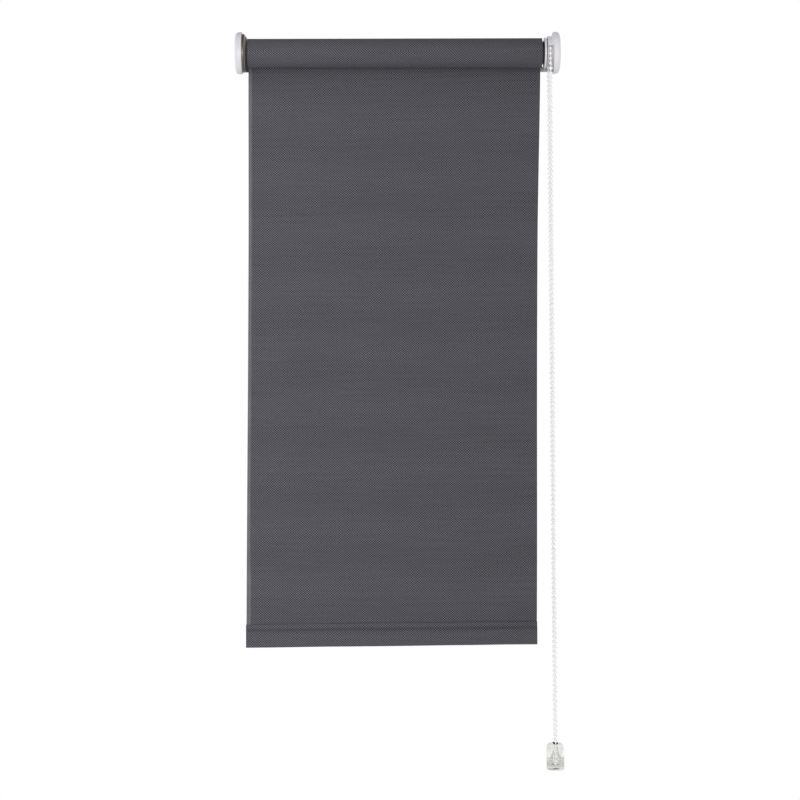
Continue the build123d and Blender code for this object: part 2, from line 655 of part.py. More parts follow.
def weight_pulley():
    """Small pocketed pulley that the chain runs under."""
    pulley = grooved_wheel(
        pulley_width(),
        PULLEY_FLANGE_THICKNESS,
        PULLEY_FLANGE_RISE,
        PULLEY_PITCH_RADIUS,
        PULLEY_POCKETS,
        PULLEY_X,
        AXIS_Y,
        PULLEY_Z,
    )
    reach = pulley_width()
    return pulley - rod(AXLE_RADIUS + RUNNING_FIT, PULLEY_X - reach, PULLEY_X + reach, AXIS_Y, PULLEY_Z)


def build_nodes():
    """Every node of the blind by name."""
    return {
        "left_bracket": bracket(-1),
        "right_bracket": bracket(1),
        "left_end_cap": end_cap(-1),
        "right_end_cap": end_cap(1),
        "pin_socket": pin_socket(),
        "drive_spindle": drive_spindle(),
        "drive_guard": drive_guard(),
        "core_washer": core_washer(),
        "core_screw": core_screw(),
        "spindle_clip": spindle_clip(),
        "roller_tube": roller_tube(),
        "fabric_tape": fabric_tape(),
        "wound_fabric": wound_fabric(),
        "tube_adapter": tube_adapter(),
        "chain_wheel": chain_wheel(),
        "wrap_spring_up": wrap_spring(0),
        "wrap_spring_down": wrap_spring(1),
        "idle_plug": idle_plug(),
        "plug_stopper": plug_stopper(),
        "idle_pin": idle_pin(),
        "pin_spring": pin_spring(),
        "fabric_sheet": fabric_sheet(),
        "hem_pocket": hem_pocket(),
        "bottom_bar": bottom_bar(),
        "bead_chain": bead_chain(),
        "chain_over_wheel": chain_over_wheel(),
        "weight_shell_left": weight_shell(-1),
        "weight_shell_right": weight_shell(1),
        "weight_axle": weight_axle(),
        "weight_pulley": weight_pulley(),
    }


os.makedirs("parts", exist_ok=True)
for node, shape in build_nodes().items():
    export_step(shape, os.path.join("parts", node + ".step"))
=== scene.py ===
import functools
import logging
from collections.abc import Callable, Sequence
from dataclasses import dataclass
from math import cos, hypot, pi, radians, sin

import bmesh
import bpy
from mathutils import Matrix, Vector, noise


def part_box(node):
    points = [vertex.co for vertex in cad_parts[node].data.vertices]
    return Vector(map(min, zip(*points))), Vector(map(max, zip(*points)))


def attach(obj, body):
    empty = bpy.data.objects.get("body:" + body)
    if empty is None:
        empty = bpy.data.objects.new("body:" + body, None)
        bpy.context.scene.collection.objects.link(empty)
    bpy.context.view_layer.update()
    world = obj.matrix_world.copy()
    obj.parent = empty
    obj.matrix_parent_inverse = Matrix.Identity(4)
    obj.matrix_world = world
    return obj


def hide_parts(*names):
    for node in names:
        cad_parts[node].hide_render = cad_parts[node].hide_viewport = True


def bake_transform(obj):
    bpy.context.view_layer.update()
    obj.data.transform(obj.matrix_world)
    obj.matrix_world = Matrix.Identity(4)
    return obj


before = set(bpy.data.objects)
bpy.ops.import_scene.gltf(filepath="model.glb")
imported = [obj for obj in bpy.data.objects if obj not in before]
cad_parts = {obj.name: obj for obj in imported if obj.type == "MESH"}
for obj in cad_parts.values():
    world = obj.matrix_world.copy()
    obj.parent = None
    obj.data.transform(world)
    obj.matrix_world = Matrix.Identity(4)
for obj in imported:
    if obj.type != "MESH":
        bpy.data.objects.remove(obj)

# Roller blind: a fabric roll between two wall brackets, turned by a bead chain that carries a clear
# weight. Metres. +X along the roller towards the chain, +Y into the wall, +Z up; the origin is the
# middle of the four wall screw holes.

LOG = logging.getLogger("roller_blind")
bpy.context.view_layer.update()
MM = 0.001
SMOOTH_BELOW = radians(35)

Point = tuple[float, float]
Colour = tuple[float, float, float]
Socket = bpy.types.NodeSocket
Value = Socket | float
Places = Sequence[float]
Surface = Callable[[float, float], Vector]
Outputs = bpy.types.bpy_prop_collection


@dataclass(frozen=True)
class Span:
    """A CAD node's box, read from the frame."""

    low: Vector
    high: Vector

    @classmethod
    def of(cls, node: str) -> "Span":
        """Reads a node's box.

        Args:
            node: the CAD node's name.

        Returns:
            Its lowest and highest corners.
        """
        low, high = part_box(node)
        return cls(Vector(low), Vector(high))

    @property
    def middle(self) -> Vector:
        """The box's centre."""
        return (self.low + self.high) / 2

    @property
    def width(self) -> float:
        """The box's length along X."""
        return self.high.x - self.low.x

    @property
    def radius(self) -> float:
        """The radius of a round part that lies along X."""
        return (self.high.z - self.low.z) / 2


ROLL = Span.of("wound_fabric")
SHEET = Span.of("fabric_sheet")
LEFT_SHELL = Span.of("weight_shell_left")
RIGHT_SHELL = Span.of("weight_shell_right")
PULLEY = Span.of("weight_pulley")
AXIS_Y = ROLL.middle.y


def side_of(x: float) -> float:
    """A place along the roll, from -1 at its left end to 1 at its right."""
    return (x - ROLL.middle.x) / (ROLL.high.x - ROLL.middle.x)


def smoothstep(low: float, high: float, value: float) -> float:
    """Rises smoothly from 0 to 1.

    Args:
        low: where it starts to rise.
        high: where it has risen.
        value: where it is read.

    Returns:
        The height of the step.
    """
    share = min(max((value - low) / (high - low), 0.0), 1.0)
    return share * share * (3 - 2 * share)


def wobble(position: float, seed: float) -> float:
    """Smooth noise along a line, from about -1 to 1."""
    return noise.noise(Vector((position, seed, 0.37)))


def between(a: float, b: float, c: float, d: float, t: float) -> float:
    """The Catmull-Rom curve through four values, from b where t is 0 to c where it is 1."""
    square, cube = (2 * a - 5 * b + 4 * c - d) * t * t, (3 * b - a - 3 * c + d) * t**3
    return 0.5 * (2 * b + (c - a) * t + square + cube)


def smooth_curve(points: Sequence[Point], step: float) -> list[Point]:
    """Runs a smooth curve through points in a plane.

    Args:
        points: the points it passes through.
        step: about how far apart the points of the result are.

    Returns:
        Points along the curve.
    """
    padded = [points[0], *points, points[-1]]
    line = []
    for a, b, c, d in zip(padded, padded[1:], padded[2:], padded[3:]):
        count = max(1, round(hypot(c[0] - b[0], c[1] - b[1]) / step))
        for index in range(count):
            line.append(tuple(between(a[k], b[k], c[k], d[k], index / count) for k in (0, 1)))
    line.append(points[-1])
    return line


# ---------------------------------------------------------------- meshes


def add_object(name: str, data: bpy.types.ID) -> bpy.types.Object:
    """Puts data in the scene as an object.

    Args:
        name: the object's name.
        data: its mesh, curve, camera or light.

    Returns:
        The new object.
    """
    item = bpy.data.objects.new(name, data)
    bpy.context.scene.collection.objects.link(item)
    return item


def finish_mesh(name: str, mesh: bpy.types.Mesh, sharp: float = SMOOTH_BELOW) -> bpy.types.Object:
    """Puts a mesh in the scene, smooth but for its corners.

    Args:
        name: the piece's name.
        mesh: its mesh.
        sharp: the angle between two faces from which their edge shows as a corner.

    Returns:
        The new object.
    """
    mesh.name = name
    mesh.polygons.foreach_set("use_smooth", [True] * len(mesh.polygons))
    mesh.set_sharp_from_angle(angle=sharp)
    return add_object(name, mesh)


def mesh_of(points: Sequence[Vector], faces: Sequence[Sequence[int]]) -> bpy.types.Mesh:
    """Makes a mesh with its faces turned outwards.

    Args:
        points: its vertices.
        faces: its faces.

    Returns:
        The mesh.
    """
    mesh = bpy.data.meshes.new("made")
    mesh.from_pydata([tuple(p) for p in points], [], [tuple(f) for f in faces])
    shape = bmesh.new()
    shape.from_mesh(mesh)
    bmesh.ops.recalc_face_normals(shape, faces=shape.faces)
    shape.to_mesh(mesh)
    shape.free()
    return mesh


def cloth_mesh(surface: Surface, across: Places, along: Places, thickness: float) -> bpy.types.Mesh:
    """Makes a closed sheet of cloth about a middle surface.

    Args:
        surface: the point of the middle surface at a place across and a place along the cloth.
        across: the places across it.
        along: the places along it.
        thickness: how thick the cloth is.

    Returns:
        The mesh, its front layer first, row by row, then its back layer.
    """
    wide, rows = len(across), len(along)
    grid = [[surface(u, v) for u in across] for v in along]
    front, back = [], []
    for j in range(rows):
        for i in range(wide):
            du = grid[j][min(i + 1, wide - 1)] - grid[j][max(i - 1, 0)]
            dv = grid[min(j + 1, rows - 1)][i] - grid[max(j - 1, 0)][i]
            normal = du.cross(dv).normalized() * (thickness / 2)
            front.append(grid[j][i] + normal)
            back.append(grid[j][i] - normal)
    layer = wide * rows
    faces = []
    for j in range(rows - 1):
        for i in range(wide - 1):
            a, b = j * wide + i, (j + 1) * wide + i
            faces.append((a, a + 1, b + 1, b))
            faces.append((layer + a, layer + b, layer + b + 1, layer + a + 1))
    rim = list(range(wide))
    rim += [j * wide + wide - 1 for j in range(1, rows)]
    rim += [(rows - 1) * wide + i for i in range(wide - 2, -1, -1)]
    rim += [j * wide for j in range(rows - 2, 0, -1)]
    for a, b in zip(rim, rim[1:] + rim[:1]):
        faces.append((b, a, layer + a, layer + b))
    return mesh_of(front + back, faces)


def edge_dense(low: float, high: float, coarse: float) -> list[float]:
    """Places across a cloth, close together by its edges.

    Args:
        low: one edge.
        high: the other edge.
        coarse: the spacing in the middle.

    Returns:
        The places in order.
    """
    near = [0.0, 0.7, 1.4, 2.1, 2.8, 3.5, 4.5, 6.0, 8.5, 12.0, 17.0, 24.0]
    left = [low + d * MM for d in near]
    right = [high - d * MM for d in reversed(near)]
    count = max(2, round((right[0] - left[-1]) / coarse))
    middle = [left[-1] + (right[0] - left[-1]) * k / count for k in range(1, count)]
    return left + middle + right


def arc(centre: Point, radius: float, start: float, end: float, steps: int) -> list[Point]:
    """Points on an arc in a plane.

    Args:
        centre: its centre.
        radius: its radius.
        start: the angle it starts at, in degrees.
        end: the angle it ends at.
        steps: how many steps it has.

    Returns:
        The points.
    """
    turn = [radians(start + (end - start) * k / steps) for k in range(steps + 1)]
    return [(centre[0] + radius * cos(a), centre[1] + radius * sin(a)) for a in turn]


def join_meshes(meshes: Sequence[bpy.types.Mesh]) -> bpy.types.Mesh:
    """Puts several meshes into one and removes the parts.

    Args:
        meshes: the meshes.

    Returns:
        One mesh with all of them.
    """
    shape = bmesh.new()
    for mesh in meshes:
        shape.from_mesh(mesh)
        bpy.data.meshes.remove(mesh)
    whole = bpy.data.meshes.new("joined")
    shape.to_mesh(whole)
    shape.free()
    return whole


def beads_mesh(places: Sequence[Vector], radius: float, sides: int = 14, rings: int = 9) -> bpy.types.Mesh:
    """Makes round beads.

    Args:
        places: their centres.
        radius: their radius.
        sides: how many sides each has round its equator.
        rings: how many bands each has from pole to pole.

    Returns:
        One mesh with them all.
    """
    ball = [Vector((0.0, 0.0, -radius))]
    for band in range(1, rings):
        tilt = pi * band / rings
        for k in range(sides):
            around = 2 * pi * k / sides
            ball.append(radius * Vector((sin(tilt) * cos(around), sin(tilt) * sin(around), -cos(tilt))))
    ball.append(Vector((0.0, 0.0, radius)))
    top = len(ball) - 1
    faces = []
    for k in range(sides):
        after = (k + 1) % sides
        faces.append((0, 1 + after, 1 + k))
        faces.append((top, top - sides + k, top - sides + after))
        for band in range(rings - 2):
            low, high = 1 + band * sides, 1 + (band + 1) * sides
            faces.append((low + k, low + after, high + after, high + k))
    points, shapes = [], []
    for place in places:
        start = len(points)
        points += [place + corner for corner in ball]
        shapes += [tuple(start + index for index in face) for face in faces]
    mesh = bpy.data.meshes.new("beads")
    mesh.from_pydata([tuple(point) for point in points], [], shapes)
    return mesh


# ---------------------------------------------------------------- materials


class NodeKit:
    """Adds and links the nodes of one tree."""

    def __init__(self, tree: bpy.types.NodeTree) -> None:
        """Keeps the tree that the nodes go into."""
        self.tree = tree

    def add(self, kind: str, **settings: object) -> bpy.types.Node:
        """Adds a node.

        Args:
            kind: its type, without the leading ShaderNode.
            settings: properties of the node itself.

        Returns:
            The node.
        """
        node = self.tree.nodes.new("ShaderNode" + kind)
        for key, value in settings.items():
            setattr(node, key, value)
        return node

    def feed(self, socket: Socket, value: Value | Colour | Vector) -> None:
        """Links a socket to another, or sets its value.

        Args:
            socket: the input.
            value: the output that feeds it, or its own value.
        """
        if isinstance(value, bpy.types.NodeSocket):
            self.tree.links.new(value, socket)
        else:
            socket.default_value = value

    def fill(self, node: bpy.types.Node, values: dict[str, Value | Colour]) -> None:
        """Links or sets several inputs of a node.

        Args:
            node: the node.
            values: what each input is fed, by its name.
        """
        for label, value in values.items():
            self.feed(node.inputs[label], value)

    def math(self, operation: str, *values: Value, clamp: bool = False) -> Socket:
        """Adds a Math node.

        Args:
            operation: what it does.
            values: its inputs, in order.
            clamp: whether the result is kept between 0 and 1.

        Returns:
            Its result.
        """
        node = self.add("Math", operation=operation, use_clamp=clamp)
        for socket, value in zip(node.inputs, values):
            self.feed(socket, value)
        return node.outputs[0]

    def blend(self, share: Value, first: Value | Colour, second: Value | Colour) -> Socket:
        """Mixes two colours.

        Args:
            share: how much of the second shows.
            first: one colour.
            second: the other.

        Returns:
            The mixed colour.
        """
        node = self.add("Mix", data_type="RGBA")
        self.feed(node.inputs[0], share)
        for socket, value in ((node.inputs[6], first), (node.inputs[7], second)):
            self.feed(socket, (*value, 1.0) if isinstance(value, tuple) else value)
        return node.outputs[2]

    def scale(self, value: Value, low: float, high: float) -> Socket:
        """Maps 0 to 1 onto another range."""
        return self.math("MULTIPLY_ADD", value, high - low, low)

    def made(self, kind: str, values: dict[str, Value | Colour], **settings: object) -> Outputs:
        """Adds a node and fills its inputs.

        Args:
            kind: its type, without the leading ShaderNode.
            values: what each input is fed, by its name.
            settings: properties of the node itself.

        Returns:
            Its outputs.
        """
        node = self.add(kind, **settings)
        self.fill(node, values)
        return node.outputs

    def noise(self, vector: Socket, scale: float, detail: float) -> Socket:
        """The value of three-dimensional noise."""
        return self.made("TexNoise", {"Vector": vector, "Scale": scale, "Detail": detail})[0]

    def stretched(self, vector: Socket, scale: Colour) -> Socket:
        """Coordinates scaled by a different amount along each axis."""
        return self.made("Mapping", {"Vector": vector, "Scale": scale})[0]

    def split(self, vector: Socket) -> Outputs:
        """The three numbers of a vector."""
        return self.made("SeparateXYZ", {"Vector": vector})

    def marked(self, name: str) -> Socket:
        """How strongly a piece is marked with an attribute."""
        return self.add("Attribute", attribute_name=name).outputs["Fac"]

    def group(self, tree: bpy.types.NodeTree, **inputs: Value) -> Outputs:
        """The outputs of a shared group, fed with these inputs."""
        return self.made("Group", inputs, node_tree=tree)

    def bump(self, shader: bpy.types.Node, height: Socket, strength: float, distance: float) -> None:
        """Gives a shader a relief.

        Args:
            shader: the shader.
            height: the relief, from 0 to 1.
            strength: how strongly it shows.
            distance: how deep it is.
        """
        relief = self.made("Bump", {"Strength": strength, "Distance": distance, "Height": height})
        self.feed(shader.inputs["Normal"], relief[0])


class Group:
    """A node group whose inputs and outputs are declared before its nodes."""

    def __init__(self, name: str, inputs: dict[str, str], outputs: dict[str, str]) -> None:
        """Args:
            name: the group's name.
            inputs: the kind of each input by name.
            outputs: the kind of each output by name.
        """
        self.tree = bpy.data.node_groups.new(name, "ShaderNodeTree")
        for way, sockets in (("INPUT", inputs), ("OUTPUT", outputs)):
            for label, kind in sockets.items():
                self.tree.interface.new_socket(name=label, in_out=way, socket_type="NodeSocket" + kind)
        self.kit = NodeKit(self.tree)
        self.inputs = self.tree.nodes.new("NodeGroupInput").outputs
        self.outputs = self.tree.nodes.new("NodeGroupOutput").inputs

    def give(self, label: str, value: Socket) -> None:
        """Links a value to one of the group's outputs."""
        self.tree.links.new(value, self.outputs[label])


class Weave:
    """Sizes of the basket weave, of which each cell is two threads wide."""

    CELL_ACROSS = 1.587 * MM
    CELL_ALONG = 1.439 * MM
    LEAN = 0.0083
    LOWEST_HUMP = 0.4
    ROUNDNESS = 0.6
    BELOW_SURFACE = 0.3 * MM
    BACK_OF_ROLL = 2.4 * MM


@functools.cache
def cloth_coordinates() -> bpy.types.NodeTree:
    """Builds the group that follows the cloth down the sheet and round the roll.

    Returns:
        The group. Across and Along are distances on the cloth in metres.
    """
    group = Group("cloth_coordinates", {"Vector": "Vector"}, {"Across": "Float", "Along": "Float"})
    kit = group.kit
    x, y, z = kit.split(group.inputs["Vector"])
    depth = kit.math("SUBTRACT", y, AXIS_Y)
    turn = kit.math("ARCTAN2", z, depth)
    around = 2 * pi * (ROLL.radius - Weave.BELOW_SURFACE)
    cells = round(around / (2 * Weave.CELL_ALONG))
    length = kit.math("MULTIPLY", turn, cells * Weave.CELL_ALONG / pi)
    below = kit.math("LESS_THAN", z, 0.0)
    behind = kit.math("GREATER_THAN", depth, ROLL.radius - Weave.BACK_OF_ROLL)
    hanging = kit.math("MULTIPLY", below, behind)
    drop = kit.math("MULTIPLY_ADD", kit.math("SUBTRACT", z, length), hanging, length)
    group.give("Across", kit.math("MULTIPLY_ADD", drop, -Weave.LEAN, x))
    group.give("Along", kit.math("MULTIPLY_ADD", x, Weave.LEAN, drop))
    return group.tree


@functools.cache
def basket_weave() -> bpy.types.NodeTree:
    """Builds the group that weaves pairs of threads over and under.

    Returns:
        The group. Over is 1 where the threads along the cloth lie on top; Height is that of the threads.
    """
    group = Group("basket_weave", {"Across": "Float", "Along": "Float"}, {"Over": "Float", "Height": "Float"})
    kit = group.kit
    across = kit.math("DIVIDE", group.inputs["Across"], Weave.CELL_ACROSS)
    along = kit.math("DIVIDE", group.inputs["Along"], Weave.CELL_ALONG)
    cell = kit.math("ADD", kit.math("FLOOR", across), kit.math("FLOOR", along))
    over = kit.math("FLOORED_MODULO", cell, 2.0)

    def hump(value: Socket, threads: int) -> Socket:
        """A row of humps, so many to each cell."""
        return kit.math("ABSOLUTE", kit.math("SINE", kit.math("MULTIPLY", value, pi * threads)))

    warp = kit.math("MULTIPLY", hump(across, 2), kit.scale(hump(along, 1), Weave.LOWEST_HUMP, 1.0))
    weft = kit.math("MULTIPLY", hump(along, 2), kit.scale(hump(across, 1), Weave.LOWEST_HUMP, 1.0))
    height = kit.math("MULTIPLY_ADD", kit.math("SUBTRACT", warp, weft), over, weft)
    group.give("Over", over)
    group.give("Height", kit.math("POWER", height, Weave.ROUNDNESS))
    return group.tree


@functools.cache
def moulded_grain() -> bpy.types.NodeTree:
    """Builds the group for a moulded surface.

    Returns:
        The group. Cloud is a slow change of tone, Grain the fine skin of the mould.
    """
    group = Group("moulded_grain", {"Vector": "Vector"}, {"Cloud": "Float", "Grain": "Float"})
    kit = group.kit
    group.give("Cloud", kit.noise(group.inputs["Vector"], scale=55.0, detail=3.0))
    group.give("Grain", kit.noise(group.inputs["Vector"], scale=2600.0, detail=2.0))
    return group.tree


@functools.cache
def drawn_metal() -> bpy.types.NodeTree:
    """Builds the group for metal drawn or rolled along X.

    Returns:
        The group. Streak runs along X, Spot marks stains and the flowers of a zinc coat.
    """
    group = Group("drawn_metal", {"Vector": "Vector"}, {"Streak": "Float", "Spot": "Float"})
    kit = group.kit
    along = kit.stretched(group.inputs["Vector"], (40.0, 1800.0, 1800.0))
    streak = kit.noise(along, scale=1.0, detail=3.0)
    flower = kit.made("TexVoronoi", {"Vector": group.inputs["Vector"], "Scale": 420.0}, feature="F1")
    group.give("Streak", streak)
    group.give("Spot", kit.made("SeparateColor", {"Color": flower["Color"]})[0])
    return group.tree


class Finish:
    """The start of every material: its nodes, its coordinates and its shader."""

    def begin(self, name: str) -> tuple[bpy.types.Material, NodeKit, bpy.types.Node, Socket]:
        """Makes an empty material.

        Args:
            name: the material's name.

        Returns:
            The material, its node kit, its Principled shader and the object's coordinates.
        """
        material = bpy.data.materials.new(name)
        material.use_nodes = True
        kit = NodeKit(material.node_tree)
        shader = material.node_tree.nodes["Principled BSDF"]
        place = kit.add("TexCoord").outputs["Object"]
        return material, kit, shader, place

@dataclass(frozen=True)
class Cloth(Finish):
    """Woven blind fabric: pale threads across dark ones, with painted shade bands, painted light brighter to
    the left, a painted highlight along the left edge and painted shade in the hem's creases.
    """

    name: str
    warp: Colour
    weft: Colour
    edge_highlight: Colour
    band: float = 0.07
    shade_band_every: float = 0.072
    painted_light_slope: float = 0.2
    slub: Point = (0.86, 1.14)
    depth: Point = (0.16, 1.0)
    rough: Point = (0.92, 0.72)
    crease_shade: float = 0.80

    def build(self) -> bpy.types.Material:
        """Makes the material.

        Returns:
            The material.
        """
        material, kit, shader, place = self.begin(self.name)
        cloth = kit.group(cloth_coordinates(), Vector=place)
        across, along = cloth["Across"], cloth["Along"]
        weave = kit.group(basket_weave(), Across=across, Along=along)
        flat = kit.made("CombineXYZ", {"X": across, "Y": along})[0]
        slub = kit.noise(kit.stretched(flat, (14.0, 260.0, 1.0)), scale=1.0, detail=3.0)
        drift = kit.noise(flat, scale=6.0, detail=1.0)
        # painted shade: faint horizontal bands of light and shade down the cloth, as from slight waves in it
        phase = kit.math("MULTIPLY", along, 2 * pi / self.shade_band_every)
        shade_band_wave = kit.math("SINE", kit.math("MULTIPLY_ADD", drift, 4.0, phase))
        thread = kit.blend(weave["Over"], self.weft, self.warp)
        # painted highlight: a paler strip along the cloth's left edge, where it catches the light
        thread = kit.blend(kit.marked("painted_edge_highlight"), thread, self.edge_highlight)
        # painted light: the cloth is painted brighter towards its left end and darker towards its right, as
        # the light falls
        side = kit.math("MULTIPLY_ADD", across, -self.painted_light_slope / ROLL.width, 1.0)
        tone = kit.math("MULTIPLY_ADD", shade_band_wave, self.band / 2, side)
        tone = kit.math("MULTIPLY", tone, kit.scale(slub, *self.slub))
        tone = kit.math("MULTIPLY", tone, kit.scale(weave["Height"], *self.depth))
        # painted shade: darker in the hem's weld groove and along the top of its free edge
        tone = kit.math("MULTIPLY", tone, kit.scale(kit.marked("painted_crease_shade"), 1.0, self.crease_shade))
        shade = kit.add("VectorMath", operation="SCALE")
        kit.feed(shade.inputs[0], thread)
        kit.feed(shade.inputs["Scale"], tone)
        rough = kit.scale(weave["Height"], *self.rough)
        kit.fill(shader, {"Base Color": shade.outputs[0], "Roughness": rough})
        kit.fill(shader, {"Specular IOR Level": 0.25, "Sheen Weight": 0.04})
        kit.bump(shader, weave["Height"], 0.35, 0.15 * MM)
        return material


@dataclass(frozen=True)
class Plastic(Finish):
    """Moulded plastic with a fine skin and slow changes of tone.

    Translucent plastic also gets a painted glow: emission that stands in for the light passed into it from
    behind.
    """

    name: str
    colour: Colour
    shade: Colour
    gloss: Point = (0.28, 0.42)
    grain: float = 0.12
    glow: float = 0.0
    passed: float = 0.0

    def build(self) -> bpy.types.Material:
        """Makes the material.

        Returns:
            The material.
        """
        material, kit, shader, place = self.begin(self.name)
        skin = kit.group(moulded_grain(), Vector=place)
        values = {
            "Base Color": kit.blend(skin["Cloud"], self.colour, self.shade),
            "Roughness": kit.scale(skin["Cloud"], *self.gloss),
            "Subsurface Weight": self.glow,
            "Subsurface Radius": (2 * MM, 2 * MM, 2 * MM),
            "Subsurface Scale": 1.0,
            # painted light: emission stands in for light passed through from behind
            "Emission Color": (*self.colour, 1.0),
            "Emission Strength": self.passed,
        }
        kit.fill(shader, values)
        kit.bump(shader, skin["Grain"], self.grain, 0.05 * MM)
        return material


@dataclass(frozen=True)
class RimHighlightPlastic(Plastic):
    """Dark moulded plastic with a painted pale highlight by its outer rim."""

    rim_highlight: Colour = (0.40, 0.33, 0.31)
    rim: Point = (-186.0 * MM, -186.7 * MM)

    def build(self) -> bpy.types.Material:
        """Makes the material.

        Returns:
            The material.
        """
        material = super().build()
        kit = NodeKit(material.node_tree)
        shader = kit.tree.nodes["Principled BSDF"]
        where = kit.split(kit.add("TexCoord").outputs["Object"])
        ends = {"Value": where[0], "From Min": self.rim[0], "From Max": self.rim[1]}
        # painted highlight: the band by the outer rim is painted pale, where it catches the light
        highlight_share = kit.made("MapRange", ends, clamp=True)[0]
        plain = shader.inputs["Base Color"].links[0].from_socket
        kit.feed(shader.inputs["Base Color"], kit.blend(highlight_share, plain, self.rim_highlight))
        return material


@dataclass(frozen=True)
class ClearPlastic(Finish):
    """Clear moulded plastic with slow waves and a faint tint, and a painted brown shade where the beads rest
    in the bed.
    """

    name: str
    tint: Colour
    clear: Colour
    bed_shade: Colour
    rough: float = 0.03
    bend: float = 1.22
    deepest: float = 5.5

    def build(self) -> bpy.types.Material:
        """Makes the material.

        Returns:
            The material.
        """
        material, kit, shader, place = self.begin(self.name)
        skin = kit.group(moulded_grain(), Vector=place)
        plain = kit.blend(skin["Cloud"], self.clear, self.tint)
        # painted shade: a brown tint in the bed under the beads
        kit.feed(shader.inputs["Base Color"], kit.blend(kit.marked("bed_shade"), plain, self.bed_shade))
        kit.fill(shader, {"Transmission Weight": 1.0, "IOR": self.bend, "Roughness": self.rough})
        kit.bump(shader, skin["Cloud"], 0.15, 0.8 * MM)
        self.let_light_in(kit, shader)
        return material

    def let_light_in(self, kit: NodeKit, shader: bpy.types.Node) -> None:
        """Lets the light reach what stands behind the plastic.

        Args:
            kit: the material's node kit.
            shader: its shader.
        """
        path = kit.add("LightPath")
        inside = kit.math("MAXIMUM", path.outputs["Is Shadow Ray"], path.outputs["Is Diffuse Ray"])
        trapped = kit.math("GREATER_THAN", path.outputs["Ray Depth"], self.deepest)
        inside = kit.math("MAXIMUM", inside, trapped)
        see_through = kit.add("BsdfTransparent")
        mix = kit.add("MixShader")
        kit.feed(mix.inputs[0], inside)
        kit.feed(mix.inputs[1], shader.outputs[0])
        kit.feed(mix.inputs[2], see_through.outputs[0])
        kit.feed(kit.tree.nodes["Material Output"].inputs["Surface"], mix.outputs[0])


@dataclass(frozen=True)
class Metal(Finish):
    """Drawn, rolled or plated metal."""

    name: str
    bright: Colour
    dull: Colour
    rough: Point = (0.28, 0.45)
    flower: float = 0.25

    def build(self) -> bpy.types.Material:
        """Makes the material.

        Returns:
            The material.
        """
        material, kit, shader, place = self.begin(self.name)
        metal = kit.group(drawn_metal(), Vector=place)
        share = kit.blend(self.flower, metal["Streak"], metal["Spot"])
        values = {
            "Base Color": kit.blend(share, self.bright, self.dull),
            "Roughness": kit.scale(metal["Streak"], *self.rough),
            "Metallic": 1.0,
        }
        kit.fill(shader, values)
        kit.bump(shader, metal["Streak"], 0.12, 0.05 * MM)
        return material


@dataclass(frozen=True)
class Palette:
    """Every finish on the blind."""

    # the third fabric colour is the painted highlight along the left edge
    fabric: Cloth = Cloth(
        "blind_fabric", (0.2235, 0.2215, 0.253), (0.0375, 0.0365, 0.046), (0.26, 0.257, 0.272)
    )
    tape: Plastic = Plastic("tape", (0.75, 0.73, 0.68), (0.65, 0.62, 0.56), (0.35, 0.5))
    white: Plastic = Plastic(
        "white_plastic", (0.86, 0.85, 0.89), (0.80, 0.79, 0.84), (0.25, 0.38), 0.08, 0.05
    )
    drive: Plastic = Plastic("drive_plastic", (0.84, 0.82, 0.80), (0.76, 0.74, 0.73), (0.3, 0.45), 0.1, 0.05)
    grey: Plastic = Plastic("grey_plastic", (0.32, 0.32, 0.33), (0.24, 0.24, 0.26), (0.35, 0.5))
    # the bead and string plastics glow with painted light, their last value
    bead: Plastic = Plastic(
        "chain_beads", (0.97, 0.965, 0.99), (0.92, 0.91, 0.96), (0.12, 0.22), 0.03, 0.6, 0.07
    )
    string: Plastic = Plastic(
        "chain_string", (0.93, 0.93, 0.96), (0.84, 0.84, 0.89), (0.45, 0.6), 0.3, 0.4, 0.07
    )
    plug: RimHighlightPlastic = RimHighlightPlastic(
        "plug_plastic", (0.035, 0.032, 0.032), (0.075, 0.07, 0.066), (0.18, 0.32), 0.2
    )
    bar: Plastic = Plastic("hem_bar", (0.55, 0.55, 0.56), (0.47, 0.47, 0.49), (0.4, 0.5))
    # the last clear-plastic colour is the painted brown shade in the bed under the beads
    clear: ClearPlastic = ClearPlastic(
        "clear_plastic", (0.86, 0.87, 0.83), (0.95, 0.95, 0.94), (0.20, 0.155, 0.11)
    )
    zinc: Metal = Metal("zinc_bracket", (0.74, 0.70, 0.66), (0.50, 0.47, 0.44), (0.25, 0.45), 0.5)
    # painted shade: a darker copy of the zinc for the left bracket, which stands in the shade
    shaded_zinc: Metal = Metal("shaded_zinc", (0.30, 0.27, 0.25), (0.17, 0.155, 0.14), (0.3, 0.5), 0.6)
    steel: Metal = Metal("steel_parts", (0.62, 0.61, 0.60), (0.42, 0.41, 0.40))
    tube: Metal = Metal("tube_metal", (0.055, 0.055, 0.06), (0.03, 0.03, 0.035), (0.35, 0.5), 0.1)


@functools.cache
def made_material(finish: Finish) -> bpy.types.Material:
    """Builds a finish's material the first time it is asked for."""
    return finish.build()


PALETTE = Palette()


def dress(piece: bpy.types.Object, finish: Finish) -> None:
    """Puts a finish on every material slot of a piece.

    Args:
        piece: the object.
        finish: its finish.
    """
    material = made_material(finish)
    if not piece.material_slots:
        piece.data.materials.append(material)
    for slot in piece.material_slots:
        slot.material = material


def place_piece(
    piece: bpy.types.Object, body: str, finish: Finish, nodes: Sequence[str] = ()
) -> bpy.types.Object:
    """Dresses a finished piece and hands it to its body.

    Args:
        piece: the object, already in place.
        body: the body it moves with.
        finish: its finish.
        nodes: the CAD nodes it stands for.

    Returns:
        The piece.
    """
    dress(piece, finish)
    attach(piece, body)
    if nodes:
        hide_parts(*nodes)
    LOG.info("%s on %s: %d faces", piece.name, body, len(getattr(piece.data, "polygons", ())))
    return piece


# ---------------------------------------------------------------- studio


